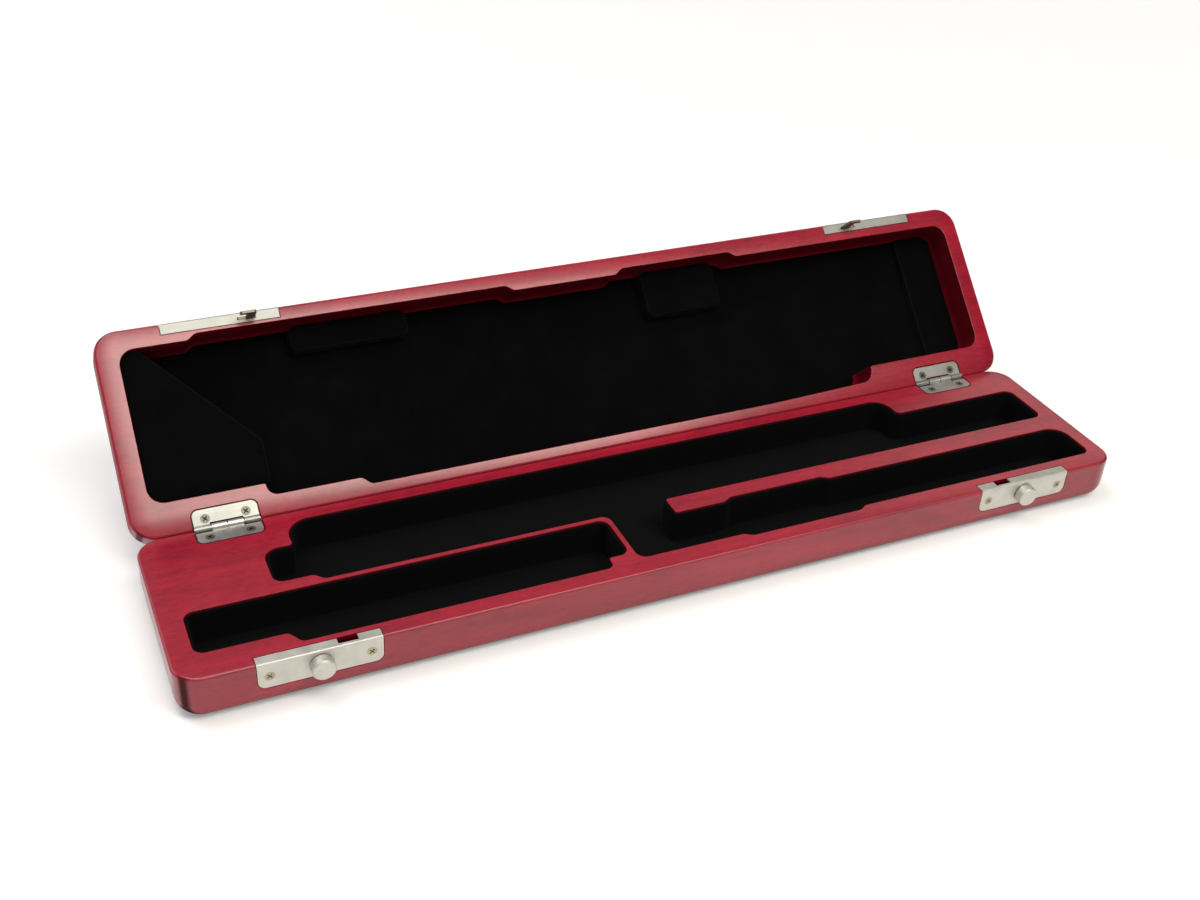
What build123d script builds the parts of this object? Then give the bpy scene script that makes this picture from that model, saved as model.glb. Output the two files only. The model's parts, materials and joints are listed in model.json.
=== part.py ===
from build123d import *
from math import cos, radians, sin, tan
import os

# A slim wooden carrying case, in millimetres.  The base has three lined bays cut into
# it, the lid swings on two hinges, and two slide latches in the base's front hold the
# hooks of two catch plates in the lid.  The origin is the centre of the underside, X
# runs along the case, Y goes back to the hinges and Z goes up.
#
# Every piece is laid out as if the case were closed, in the plane of the face that it
# belongs to: the deck of the base, or the rim of the lid.  The rim plane is then tilted
# back about the hinge axis, so the lid's pieces come out where they are with the lid
# open at its stop.

# Bays along the case, from its left end to its right end
foot_end_wall = 9.5
foot_bay_length = 171.7
web_thickness = 2.3
head_bay_length = 228.7
head_end_wall = 7.8
tube_end_wall = 9.0
tube_bay_length = 365.5
key_bay_start = 12.3
key_bay_length = 287.9
web_gap_length = 27.5

# Bays across the case, from its front to its back
front_wall = 9.2
head_bay_width = 22.7
island_width = 10.4
tube_bay_width = 22.6
end_bay_width = 24.8
key_bay_width = 15.5
back_wall = 6.3
foot_front_wall = 13.7
foot_bay_width = 23.9
rib_thickness = 2.3

# Places where a bay steps out for something wider than a tube
foot_pocket_start = 37.5
foot_pocket_depth = 6.2
foot_notch = 9.5
foot_notch_radius = 1.6
rib_recess_start = 15.0
tube_tip_inset = 1.3
ring_pocket_start = 51.0
ring_pocket_length = 52.0
ring_pocket_depth = 2.2
step_run = 3.6

# Corner radii of the bays
bay_corner = 4.2
tube_bay_corner = 6.5
key_bay_left_corner = 10.5
key_bay_right_corner = 7.5
head_bay_corner = 8.0
land_corner = 3.2
island_corner = 1.6
web_corner = 4.0
step_radius = 3.0

# Wooden shells
base_height = 21.0
bay_floor = 4.8
lid_height = 21.2
lid_panel = 2.6
rim_gap = 0.2
plan_corner = 10.0
outer_edge_radius = 8.5
rim_edge_radius = 1.1
bay_edge_radius = 0.3

# Cavity of the lid
lid_left_wall = 9.2
lid_right_wall = 8.2
lid_front_wall = 8.7
lid_back_wall = 5.2
lid_pocket_depth = 2.6
lid_foot_pocket_start = 31.5
lid_foot_pocket_length = 136.0
lid_ring_pocket_start = 50.5
lid_ring_pocket_length = 55.5
hinge_land_depth = 13.9
left_land_length = 46.0
right_land_length = 64.0
key_shelf_depth = 3.4
key_shelf_length = 39.0
back_taper_depth = 1.5
back_taper_length = 58.0
lid_corner = 6.5
land_tip_radius = 1.0
land_foot_radius = 5.0

# Velvet linings, blocks and pads
lining = 1.0
lining_gap = 0.1
lining_drop = 0.3
lining_cove = 1.5
lid_lining_thickness = 0.8
soft_gap = 0.3
soft_edge = 1.2
left_block_drop = 1.6
left_block_front_length = 8.0
left_block_length = 48.5
left_block_straight = 18.5
right_block_length = 20.5
right_block_drop = 13.5
pad_drop = 10.0
long_pad_start = 80.0
long_pad_length = 52.0
long_pad_width = 11.0
square_pad_start = 12.7
square_pad_length = 38.0
square_pad_width = 21.5

# Hinges
hinge_end_distance = 36.8
hinge_length = 26.0
hinge_wall = 8.0
hinge_inset = 0.3
leaf_thickness = 0.9
base_leaf_width = 9.5
lid_leaf_width = 8.2
leaf_corner = 2.5
knuckle_radius = 1.6
knuckle_count = 4
knuckle_side_gap = 0.4
knuckle_notch_gap = 0.7
knuckle_clearance = 0.25
pin_radius = 0.8
pin_clearance = 0.05
pin_overhang = 0.3
mortise_gap = 0.6
hinge_screw_spacing = 16.3
base_hinge_screw_inset = 6.0
lid_hinge_screw_inset = 4.35
lid_open_angle = 135.0

# Latch plates in the base and catch plates in the lid
latch_end_distance = 51.65
plate_length = 46.5
catch_plate_length = 48.7
plate_height = 11.2
plate_thickness = 0.8
plate_corner = 3.0
fold_radius = 0.7
latch_flange_width = 4.5
catch_flange_width = 4.5
plate_gap = 0.35
plate_screw_inset = 4.4
plate_screw_drop = 6.1

# Slide latch mechanism
latch_travel = 3.2
latch_drop = 6.1
knob_diameter = 9.0
knob_height = 4.0
knob_chamfer = 0.5
knob_gap = 0.3
stem_diameter = 2.8
stem_clearance = 0.15
tail_diameter = 1.8
tail_clearance = 0.03
slider_thickness = 1.2
slider_plate_gap = 1.1
slider_height = 5.0
slider_outboard = 4.6
slider_inboard = 3.9
tooth_length = 3.1
tooth_height = 2.2
keeper_wall = 0.5
keeper_length = 8.0
keeper_clearance = 0.2
spring_room = 0.55
spring_thickness = 0.25
spring_height = 3.0
spring_length = 6.6
spring_clearance = 0.1
pocket_gap = 0.3

# Hooks of the catch plates
hook_thickness = 1.1
hook_setback = 1.35
hook_width = 6.7
hook_reach = 8.2
hook_nose = 3.1
hook_foot_width = 2.6
hook_side_gap = 0.4
hook_tip_chamfer = 0.8
hook_slot_gap = 0.5
hook_slot_front_gap = 0.6
hook_fit = 0.1

# Countersunk cross-head screws
screw_head_angle = 90.0
hinge_screw_head = 3.8
hinge_screw_shank = 2.0
hinge_screw_length = 7.0
plate_screw_head = 3.9
plate_screw_shank = 1.7
plate_screw_length = 5.2
screw_fit = 0.05
recess_depth = 0.6
recess_width = 0.5
recess_share = 0.62

# The case is as long as the longest of its rows.  The key bay lies between the hinges,
# a hinge wall away from the left one, and the tube bay starts beside its left end.
hinge_room = hinge_end_distance + hinge_length / 2 + hinge_wall
foot_row = (
    foot_end_wall + foot_bay_length + web_thickness + head_bay_length + head_end_wall
)
tube_row = hinge_room - key_bay_start + tube_bay_length + tube_end_wall
key_row = hinge_room + key_bay_length + hinge_room
case_length = max(foot_row, tube_row, key_row)

# Sizes of the whole case and the planes that its pieces are laid out in
case_width = (
    front_wall
    + head_bay_width
    + island_width
    + tube_bay_width
    + key_bay_width
    + back_wall
)
left_end = -case_length / 2
right_end = case_length / 2
front_face = -case_width / 2
back_face = case_width / 2
axis_y = back_face - hinge_inset
bay_depth = base_height - bay_floor
lid_depth = lid_height - lid_panel

deck = Plane.XY.offset(base_height)
lid_up = Vector(0, sin(radians(lid_open_angle)), cos(radians(lid_open_angle)))
lid_back = Vector(0, cos(radians(lid_open_angle)), -sin(radians(lid_open_angle)))
hinge_line = Vector(0, axis_y, base_height + rim_gap / 2)
rim = Plane(
    origin=hinge_line - lid_back * axis_y + lid_up * (rim_gap / 2),
    x_dir=(1, 0, 0),
    z_dir=lid_up,
)

# In a shell's own plane, its wood is below the deck or above the rim
DOWN = -1
UP = 1

# In the front face's plane, the wood is behind the face
BEHIND = -1

# The most of an edge that the rounding of its two corners may take
EDGE_SHARE = 0.98

# How far a cut starts or ends outside the piece that it cuts
OVERRUN = 1.0


def front_plane(level):
    """The front face's plane: x along the case, y up from the level, z outwards."""
    return Plane(
        origin=level.from_local_coords((0, front_face, 0)),
        x_dir=level.x_dir,
        z_dir=-level.y_dir,
    )


def cross_plane(level, x, y, z):
    """A plane square to the case's length, through a point of the level."""
    return Plane(
        origin=level.from_local_coords((x, y, z)), x_dir=level.y_dir, z_dir=level.x_dir
    )


def outline(corners):
    """A face whose edge turns at each (x, y, radius), no rounder than its edges allow."""
    count = len(corners)
    points = [Vector(x, y) for x, y, radius in corners]
    edges = [points[i] - points[i - 1] for i in range(count)]
    tangents = []
    for i, (x, y, radius) in enumerate(corners):
        turn = edges[i].get_angle(edges[(i + 1) % count])
        tangents.append(radius * tan(radians(turn / 2)))
    radii = []
    for i, (x, y, radius) in enumerate(corners):
        following = (i + 1) % count
        room_before = edges[i].length / (tangents[i - 1] + tangents[i])
        room_after = edges[following].length / (tangents[i] + tangents[following])
        radii.append(radius * min(1, EDGE_SHARE * room_before, EDGE_SHARE * room_after))
    with BuildSketch() as shape:
        with BuildLine():
            FilletPolyline(points, radius=radii, close=True)
        make_face()
    return shape.sketch


def save(piece, label):
    """Label a finished piece and write it as one STEP file."""
    piece.part.label = label
    export_step(piece.part, f"parts/{label}.step")


os.makedirs("parts", exist_ok=True)

# Bay outlines in the deck's plane.  The foot bay stands alone.  The tube bay and the
# head bay open into each other between the web and the island.
foot_left = left_end + foot_end_wall
foot_right = foot_left + foot_bay_length
foot_front = front_face + foot_front_wall
foot_back = foot_front + foot_bay_width
foot_pocket_x = foot_left + foot_pocket_start
foot_pocket_front = foot_front - foot_pocket_depth
head_left = foot_right + web_thickness
head_right = head_left + head_bay_length
head_front = front_face + front_wall
head_back = head_front + head_bay_width
key_left = left_end + hinge_room
key_right = key_left + key_bay_length
tube_left = key_left - key_bay_start
tube_right = tube_left + tube_bay_length
tube_front = head_back + island_width
tip_front = tube_front + tube_tip_inset
tube_back = tube_front + tube_bay_width
end_back = tube_front + end_bay_width
rib_back = foot_back + rib_thickness
rib_recess_x = tube_left + rib_recess_start
key_back = tube_back + key_bay_width
island_left = head_left + web_gap_length
ring_left = head_left + ring_pocket_start
ring_right = ring_left + ring_pocket_length

foot_bay = outline([
    (foot_left, foot_front, bay_corner),
    (foot_pocket_x - step_run, foot_front, step_radius),
    (foot_pocket_x, foot_pocket_front, step_radius),
    (foot_right - foot_notch, foot_pocket_front, step_radius),
    (foot_right - foot_notch, foot_front, foot_notch_radius),
    (foot_right, foot_front, bay_corner),
    (foot_right, foot_back, bay_corner),
    (foot_left, foot_back, bay_corner),
])

main_bay = outline([
    (tube_left, tip_front, bay_corner),
    (rib_recess_x, tip_front, step_radius),
    (rib_recess_x + step_run, rib_back, step_radius),
    (head_left, rib_back, web_corner),
    (head_left, head_front, bay_corner),
    (ring_left - step_run, head_front, step_radius),
    (ring_left, head_front - ring_pocket_depth, step_radius),
    (ring_right, head_front - ring_pocket_depth, step_radius),
    (ring_right + step_run, head_front, step_radius),
    (head_right, head_front, bay_corner),
    (head_right, head_back, head_bay_corner),
    (ring_right, head_back, step_radius),
    (ring_right - step_run, head_back + ring_pocket_depth, step_radius),
    (ring_left + step_run, head_back + ring_pocket_depth, step_radius),
    (ring_left, head_back, step_radius),
    (island_left, head_back, island_corner),
    (island_left, tube_front, island_corner),
    (tube_right, tube_front, bay_corner),
    (tube_right, end_back, bay_corner),
    (key_right, end_back, land_corner),
    (key_right, key_back, key_bay_right_corner),
    (key_left, key_back, key_bay_left_corner),
    (key_left, tube_back, island_corner),
    (tube_left, tube_back, tube_bay_corner),
])

# Outline of the lid's cavity in the rim's plane
lid_left = left_end + lid_left_wall
lid_right = right_end - lid_right_wall
lid_front = front_face + lid_front_wall
lid_back_edge = back_face - lid_back_wall
lid_foot_x = lid_left + lid_foot_pocket_start
lid_ring_x = head_left + lid_ring_pocket_start
land_edge = back_face - hinge_land_depth
left_land_x = lid_left + left_land_length
right_land_x = lid_right - right_land_length
shelf_edge = lid_back_edge - key_shelf_depth
shelf_x = left_land_x + key_shelf_length
taper_x = right_land_x - back_taper_length

lid_cavity = outline([
    (lid_left, lid_front, lid_corner),
    (lid_foot_x - step_run, lid_front, step_radius),
    (lid_foot_x, lid_front - lid_pocket_depth, step_radius),
    (lid_foot_x + lid_foot_pocket_length, lid_front - lid_pocket_depth, step_radius),
    (lid_foot_x + lid_foot_pocket_length + step_run, lid_front, step_radius),
    (lid_ring_x - step_run, lid_front, step_radius),
    (lid_ring_x, lid_front - lid_pocket_depth, step_radius),
    (lid_ring_x + lid_ring_pocket_length, lid_front - lid_pocket_depth, step_radius),
    (lid_ring_x + lid_ring_pocket_length + step_run, lid_front, step_radius),
    (lid_right, lid_front, lid_corner),
    (lid_right, land_edge, lid_corner),
    (right_land_x, land_edge, land_tip_radius),
    (right_land_x, lid_back_edge - back_taper_depth, lid_corner),
    (taper_x, lid_back_edge, step_radius),
    (shelf_x + step_run, lid_back_edge, step_radius),
    (shelf_x, shelf_edge, step_radius),
    (left_land_x, shelf_edge, land_foot_radius),
    (left_land_x, land_edge, land_tip_radius),
    (lid_left, land_edge, lid_corner),
])

# Where the hinges and latches stand along the case.  Inboard is towards the middle.
SIDES = {"left": -1, "right": 1}
hinge_xs = {side: SIDES[side] * (right_end - hinge_end_distance) for side in SIDES}
latch_xs = {side: SIDES[side] * (right_end - latch_end_distance) for side in SIDES}
plate_lengths = {DOWN: plate_length, UP: catch_plate_length}


def inboard(side, distance):
    """The place along the case that lies this far inboard of the latch's middle."""
    return latch_xs[side] - SIDES[side] * distance


# Depths behind the front face, where the latch works
plate_back = front_face + plate_thickness
slider_front = plate_back + slider_plate_gap
slider_back = slider_front + slider_thickness
keeper_inner = slider_back + spring_room
keeper_back = keeper_inner + keeper_wall
hook_front = plate_back + hook_setback
hook_back = hook_front + hook_thickness
tooth_tip = slider_inboard + tooth_length
hook_outboard = tooth_tip + hook_side_gap
hook_inboard = hook_outboard + hook_width
slot_outboard = hook_outboard - hook_slot_gap
slot_inboard = hook_inboard + hook_slot_gap
keeper_inside = slider_height + 2 * keeper_clearance
keeper_outside = keeper_inside + 2 * keeper_wall
pocket_bottom = latch_drop + keeper_outside / 2 + pocket_gap
tooth_bottom = latch_drop - slider_height / 2 + tooth_height
nose_top = tooth_bottom + keeper_clearance
hook_foot_back = hook_front + hook_foot_width


def hinge_places(side, inset):
    """The two screw places of a leaf, in the plane of its rim."""
    reach = hinge_screw_spacing / 2
    return [(hinge_xs[side] + end * reach, back_face - inset) for end in (-1, 1)]


def plate_places(side, into):
    """The two screw places of a plate, in the front face's plane."""
    drop = into * plate_screw_drop
    reach = plate_lengths[into] / 2 - plate_screw_inset
    return [(latch_xs[side] + end * reach, drop) for end in (-1, 1)]


def head_depth(head, shank):
    """How deep a countersunk head goes before it has narrowed to its shank."""
    return (head - shank) / 2 / tan(radians(screw_head_angle / 2))


def countersunk_screws(plane, into, places, head, shank, length):
    """Screws flush with the plane, as one group of separate solids."""
    arm = head * recess_share
    with BuildPart() as screws:
        with BuildSketch(plane):
            with Locations(*places):
                Circle(shank / 2)
        extrude(amount=into * length)
        with BuildSketch(plane):
            with Locations(*places):
                Circle(head / 2)
        extrude(amount=into * head_depth(head, shank), taper=screw_head_angle / 2)
        with BuildSketch(plane):
            with Locations(*places):
                Rectangle(arm, recess_width, rotation=45)
                Rectangle(arm, recess_width, rotation=-45)
        extrude(amount=into * recess_depth, mode=Mode.SUBTRACT)
    return screws


def countersunk_holes(plane, into, places, head, shank, length):
    """Cut holes that are wider and deeper than such screws by their fit."""
    with BuildSketch(plane) as heads:
        with Locations(*places):
            Circle(head / 2 + screw_fit)
    extrude(
        heads.sketch,
        amount=into * head_depth(head, shank),
        taper=screw_head_angle / 2,
        mode=Mode.SUBTRACT,
    )
    with BuildSketch(plane) as shanks:
        with Locations(*places):
            Circle(shank / 2 + screw_fit)
    extrude(shanks.sketch, amount=into * (length + screw_fit), mode=Mode.SUBTRACT)


def wooden_shell(level, into, height, depth, bays):
    """A rounded block with its bays sunk into its face at the level."""
    across = Axis(level.origin, level.z_dir)
    with BuildPart() as shell:
        with BuildSketch(level):
            RectangleRounded(case_length, case_width, plan_corner)
        extrude(amount=into * height)
        faces = shell.faces().sort_by(across)
        inner, outer = (faces[-1], faces[0]) if into == DOWN else (faces[0], faces[-1])
        outer_edges = outer.edges()
        rim_edges = inner.edges()
        fillet(outer_edges, outer_edge_radius)
        fillet(rim_edges, rim_edge_radius)
        with BuildSketch(level):
            for bay in bays:
                add(bay)
        extrude(amount=into * depth, mode=Mode.SUBTRACT)
        faces = shell.faces().filter_by(level).sort_by(across)
        inner = faces[-1] if into == DOWN else faces[0]
        mouth = [edge for wire in inner.inner_wires() for edge in wire.edges()]
        fillet(mouth, bay_edge_radius)
    return shell


def leaf_outline(side, width, grow):
    """A leaf seen square to its rim, rounded at its two corners away from the hinge."""
    half = hinge_length / 2 + grow
    near = back_face + knuckle_radius + OVERRUN if grow else axis_y
    far = back_face - width - grow
    corner = leaf_corner + grow
    with BuildSketch() as leaf:
        with BuildLine():
            FilletPolyline(
                (hinge_xs[side] - half, near),
                (hinge_xs[side] - half, far),
                (hinge_xs[side] + half, far),
                (hinge_xs[side] + half, near),
                radius=corner,
            )
            Line((hinge_xs[side] + half, near), (hinge_xs[side] - half, near))
        make_face()
    return leaf.sketch


def plate_outline(side, into, grow):
    """A plate's front flange, rounded at the two corners away from the fold."""
    half = plate_lengths[into] / 2 + grow
    near = -into * grow
    far = into * (plate_height + grow)
    corner = plate_corner + grow
    with BuildSketch() as plate:
        with BuildLine():
            FilletPolyline(
                (latch_xs[side] - half, near),
                (latch_xs[side] - half, far),
                (latch_xs[side] + half, far),
                (latch_xs[side] + half, near),
                radius=corner,
            )
            Line((latch_xs[side] + half, near), (latch_xs[side] - half, near))
        make_face()
    return plate.sketch


def cut_fittings(shell, level, into, leaf_width, screw_inset, flange_width):
    """Sink a shell's hinge leaves, plates and screws into its wood."""
    front = front_plane(level)
    hinge_z = -into * rim_gap / 2

    def sink(recess, amount):
        extrude(recess.sketch, amount=amount, mode=Mode.SUBTRACT)

    with shell:
        for side in SIDES:
            with BuildSketch(level) as leaf_recess:
                add(leaf_outline(side, leaf_width, mortise_gap))
            sink(leaf_recess, into * leaf_thickness)
            start = hinge_xs[side] - hinge_length / 2 - mortise_gap
            with BuildSketch(cross_plane(level, start, axis_y, hinge_z)) as groove:
                Circle(knuckle_radius + knuckle_clearance)
            sink(groove, hinge_length + 2 * mortise_gap)
            countersunk_holes(
                level,
                into,
                hinge_places(side, screw_inset),
                hinge_screw_head,
                hinge_screw_shank,
                hinge_screw_length,
            )
            with BuildSketch(front) as plate_recess:
                add(plate_outline(side, into, plate_gap))
            sink(plate_recess, BEHIND * plate_thickness)
            with BuildSketch(level) as flange_recess:
                with Locations((latch_xs[side], front_face)):
                    Rectangle(
                        plate_lengths[into] + 2 * plate_gap,
                        2 * (flange_width + plate_gap),
                    )
            sink(flange_recess, into * plate_thickness)
            countersunk_holes(
                front,
                BEHIND,
                plate_places(side, into),
                plate_screw_head,
                plate_screw_shank,
                plate_screw_length,
            )


def box_between(level, xs, ys, zs, mode):
    """A block between two places along, across and square to a level."""
    with BuildSketch(level.offset(min(zs))) as footprint:
        with Locations(((xs[0] + xs[1]) / 2, (ys[0] + ys[1]) / 2)):
            Rectangle(abs(xs[1] - xs[0]), abs(ys[1] - ys[0]))
    extrude(footprint.sketch, amount=abs(zs[1] - zs[0]), mode=mode)


# The base: bays, then the recesses of its fittings and of the latch mechanisms
base_shell = wooden_shell(deck, DOWN, base_height, bay_depth, [foot_bay, main_bay])
cut_fittings(
    base_shell, deck, DOWN, base_leaf_width, base_hinge_screw_inset, latch_flange_width
)
pocket_outboard = -max(keeper_length / 2, slider_outboard) - pocket_gap
with base_shell:
    for side in SIDES:
        box_between(
            deck,
            (inboard(side, pocket_outboard), inboard(side, slot_inboard)),
            (plate_back, keeper_back + pocket_gap),
            (-plate_thickness, -pocket_bottom),
            Mode.SUBTRACT,
        )
save(base_shell, "base_shell")

# The lid: one wide cavity, the same recesses, and pockets for the hooks' feet
lid_shell = wooden_shell(rim, UP, lid_height, lid_depth, [lid_cavity])
cut_fittings(lid_shell, rim, UP, lid_leaf_width, lid_hinge_screw_inset, catch_flange_width)
foot_top = plate_thickness + hook_thickness
with lid_shell:
    for side in SIDES:
        box_between(
            rim,
            (
                inboard(side, hook_outboard - pocket_gap),
                inboard(side, hook_inboard + pocket_gap),
            ),
            (plate_back, hook_foot_back + pocket_gap),
            (plate_thickness, foot_top + pocket_gap),
            Mode.SUBTRACT,
        )
save(lid_shell, "lid_shell")


def bay_lining(bay, label):
    """A velvet skin over the floor and walls of a bay."""
    floor = deck.offset(-bay_depth)
    with BuildPart() as skin:
        with BuildSketch(floor):
            add(bay)
            offset(amount=-lining_gap)
        extrude(amount=bay_depth - lining_drop)
        with BuildSketch(floor.offset(lining)):
            add(bay)
            offset(amount=-lining_gap - lining)
        extrude(amount=bay_depth - lining_drop, mode=Mode.SUBTRACT)
        fillet(skin.faces().filter_by(Plane.XY).sort_by(Axis.Z)[1].edges(), lining_cove)
    save(skin, label)


bay_lining(foot_bay, "foot_bay_lining")
bay_lining(main_bay, "main_bay_lining")

# The lid's lining is a sheet on its panel, and the blocks and pads stand on the sheet
with BuildPart() as lid_lining:
    with BuildSketch(rim.offset(lid_depth)):
        add(lid_cavity)
        offset(amount=-lining_gap)
    extrude(amount=-lid_lining_thickness)
save(lid_lining, "lid_lining")

lining_face = lid_depth - lid_lining_thickness


def soft_solid(corners, drop, label):
    """A padded block on the lid's lining, up to a depth below the rim."""
    with BuildPart() as block:
        with BuildSketch(rim.offset(lining_face)):
            add(outline(corners))
        extrude(amount=drop - lining_face)
        top = block.faces().filter_by(rim).sort_by(Axis(rim.origin, rim.z_dir))[0]
        fillet(top.edges(), soft_edge)
    save(block, label)


block_left = lid_left + soft_gap
block_front = lid_front + soft_gap
block_back = land_edge - soft_gap
soft_solid(
    [
        (block_left, block_front, lid_corner),
        (block_left + left_block_front_length, block_front, step_radius),
        (
            block_left + left_block_length,
            block_back - left_block_straight,
            step_radius,
        ),
        (block_left + left_block_length, block_back, step_radius),
        (block_left, block_back, lid_corner),
    ],
    left_block_drop,
    "lid_left_block",
)

block_right = lid_right - soft_gap
soft_solid(
    [
        (block_right - right_block_length, block_front, step_radius),
        (block_right, block_front, lid_corner),
        (block_right, block_back, lid_corner),
        (block_right - right_block_length, block_back, step_radius),
    ],
    right_block_drop,
    "lid_right_block",
)


def front_pad(start, length, width, label):
    """A pad that stands against the front wall of a pocket in the lid."""
    front = lid_front - lid_pocket_depth + soft_gap
    soft_solid(
        [
            (start, front, step_radius),
            (start + length, front, step_radius),
            (start + length, front + width, step_radius),
            (start, front + width, step_radius),
        ],
        pad_drop,
        label,
    )


front_pad(
    left_end + long_pad_start, long_pad_length, long_pad_width, "lid_long_pad"
)
front_pad(
    lid_ring_x + square_pad_start, square_pad_length, square_pad_width, "lid_square_pad"
)

# Hinges.  The lid's leaf has the two end knuckles, and the base's has those between.
knuckle_pitch = hinge_length / knuckle_count
lid_knuckles = (0, knuckle_count - 1)
base_knuckles = range(1, knuckle_count - 1)


def hinge_leaf(side, level, into, width, screw_inset, knuckles, label):
    """A leaf with some of its hinge's knuckles, notched clear of the others."""
    start = hinge_xs[side] - hinge_length / 2
    hinge_z = -into * rim_gap / 2
    clear = knuckle_radius + knuckle_clearance
    with BuildPart() as leaf:
        with BuildSketch(level):
            add(leaf_outline(side, width, 0))
        extrude(amount=into * leaf_thickness)
        for knuckle in range(knuckle_count):
            x = start + knuckle * knuckle_pitch
            if knuckle in knuckles:
                plane = cross_plane(level, x + knuckle_side_gap / 2, axis_y, hinge_z)
                with BuildSketch(plane):
                    Circle(knuckle_radius)
                extrude(amount=knuckle_pitch - knuckle_side_gap)
            else:
                box_between(
                    level,
                    (x - knuckle_side_gap / 2, x + knuckle_pitch + knuckle_side_gap / 2),
                    (axis_y - knuckle_radius - knuckle_notch_gap, axis_y + clear),
                    (-clear, clear),
                    Mode.SUBTRACT,
                )
        with BuildSketch(cross_plane(level, start - OVERRUN, axis_y, hinge_z)):
            Circle(pin_radius + pin_clearance)
        extrude(amount=hinge_length + 2 * OVERRUN, mode=Mode.SUBTRACT)
        countersunk_holes(
            level,
            into,
            hinge_places(side, screw_inset),
            hinge_screw_head,
            hinge_screw_shank,
            hinge_screw_length,
        )
    save(leaf, label)


for side in SIDES:
    hinge_leaf(
        side, deck, DOWN, base_leaf_width, base_hinge_screw_inset, base_knuckles,
        f"{side}_hinge_base_leaf",
    )
    hinge_leaf(
        side, rim, UP, lid_leaf_width, lid_hinge_screw_inset, lid_knuckles,
        f"{side}_hinge_lid_leaf",
    )
    with BuildPart() as pin:
        start = hinge_xs[side] - hinge_length / 2 - pin_overhang
        with BuildSketch(cross_plane(deck, start, axis_y, rim_gap / 2)):
            Circle(pin_radius)
        extrude(amount=hinge_length + 2 * pin_overhang)
        chamfer(pin.edges(), pin_overhang / 2)
    save(pin, f"{side}_hinge_pin")


def hinge_screws(level, into, inset, label):
    """The four screws that hold two leaves to one shell."""
    screws = countersunk_screws(
        level,
        into,
        [place for side in SIDES for place in hinge_places(side, inset)],
        hinge_screw_head,
        hinge_screw_shank,
        hinge_screw_length,
    )
    save(screws, label)


hinge_screws(deck, DOWN, base_hinge_screw_inset, "hinge_base_screws")
hinge_screws(rim, UP, lid_hinge_screw_inset, "hinge_lid_screws")


def folded_plate(side, level, into, flange_width, slot_ys):
    """A plate let into the front face, its flange folded over the rim and cut away."""
    front = front_plane(level)
    half = plate_lengths[into] / 2
    with BuildPart() as plate:
        with BuildSketch(front):
            add(plate_outline(side, into, 0))
        extrude(amount=BEHIND * plate_thickness)
        box_between(
            level,
            (latch_xs[side] - half, latch_xs[side] + half),
            (front_face, front_face + flange_width),
            (0, into * plate_thickness),
            Mode.ADD,
        )
        corner = level.from_local_coords((latch_xs[side], front_face, 0))
        fold = plate.edges().filter_by(Axis.X).sort_by_distance(corner)[0]
        fillet(fold, fold_radius)
        box_between(
            level,
            (inboard(side, slot_outboard), inboard(side, slot_inboard)),
            slot_ys,
            (-into * OVERRUN, into * plate_thickness),
            Mode.SUBTRACT,
        )
        countersunk_holes(
            front,
            BEHIND,
            plate_places(side, into),
            plate_screw_head,
            plate_screw_shank,
            plate_screw_length,
        )
    return plate


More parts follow.
